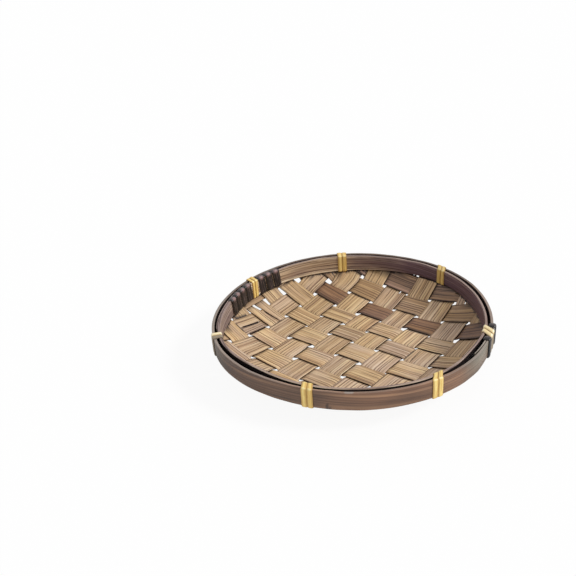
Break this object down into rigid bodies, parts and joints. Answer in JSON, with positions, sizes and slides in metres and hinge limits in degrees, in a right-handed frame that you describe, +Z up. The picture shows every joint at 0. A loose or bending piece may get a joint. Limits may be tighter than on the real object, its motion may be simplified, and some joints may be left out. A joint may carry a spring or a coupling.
{
  "type": "woven bamboo tray basket",
  "caption": "Shallow round tray basket: a plain-woven bowl of flat bamboo strips, nipped between two hoops that cane ties lash together",
  "frame": {"origin": "centre of the tray's box at the bottom, on the surface that the flat middle of the weave stands on", "axes": "+Z up through the open mouth and the shortest extent; +X to the right and +Y to the back, as the tray lies in the picture; the outer hoop's lap is near +X"},
  "size_m": [0.2432, 0.2374, 0.0388],
  "materials": {
    "bamboo_tan": "dry split bamboo, fine grooves along each strip, satin",
    "bamboo_brown": "dry split bamboo, browner strip, satin",
    "bamboo_dark": "dry split bamboo, dark stained strip, satin",
    "bamboo_grey_brown": "dry split bamboo, blackish brown strip, satin",
    "hoop_brown": "flat bamboo strip bent into a hoop, fine streaks along it, satin",
    "hoop_dark": "flat bamboo strip bent into a hoop, darker inside, satin",
    "pale_cane": "pale yellow split cane, slightly shiny",
    "dark_cane": "dark brown split cane, slightly shiny"
  },
  "bodies": {
    "root": {"warp_strip_01": "bamboo_grey_brown", "warp_strip_02": "bamboo_brown", "warp_strip_03": "bamboo_dark", "warp_strip_04": "bamboo_tan", "warp_strip_05": "bamboo_tan", "warp_strip_06": "bamboo_tan", "warp_strip_07": "bamboo_tan", "warp_strip_08": "bamboo_tan", "warp_strip_09": "bamboo_tan", "warp_strip_10": "bamboo_tan", "weft_strip_01": "bamboo_tan", "weft_strip_02": "bamboo_tan", "weft_strip_03": "bamboo_tan", "weft_strip_04": "bamboo_tan", "weft_strip_05": "bamboo_tan", "weft_strip_06": "bamboo_tan", "weft_strip_07": "bamboo_tan", "weft_strip_08": "bamboo_tan", "weft_strip_09": "bamboo_tan", "weft_strip_10": "bamboo_tan", "outer_hoop": "hoop_brown", "inner_hoop": "hoop_dark", "tie_left": "pale_cane", "tie_front_left": "pale_cane", "tie_front_right": "pale_cane", "tie_right": "pale_cane", "tie_back_right": "pale_cane", "tie_back": "pale_cane", "tie_back_left": "pale_cane", "inner_lap_binding_left": "dark_cane", "inner_lap_binding_right": "dark_cane", "outer_lap_binding_upper": "dark_cane", "outer_lap_binding_lower": "dark_cane"}
  },
  "joints": []
}
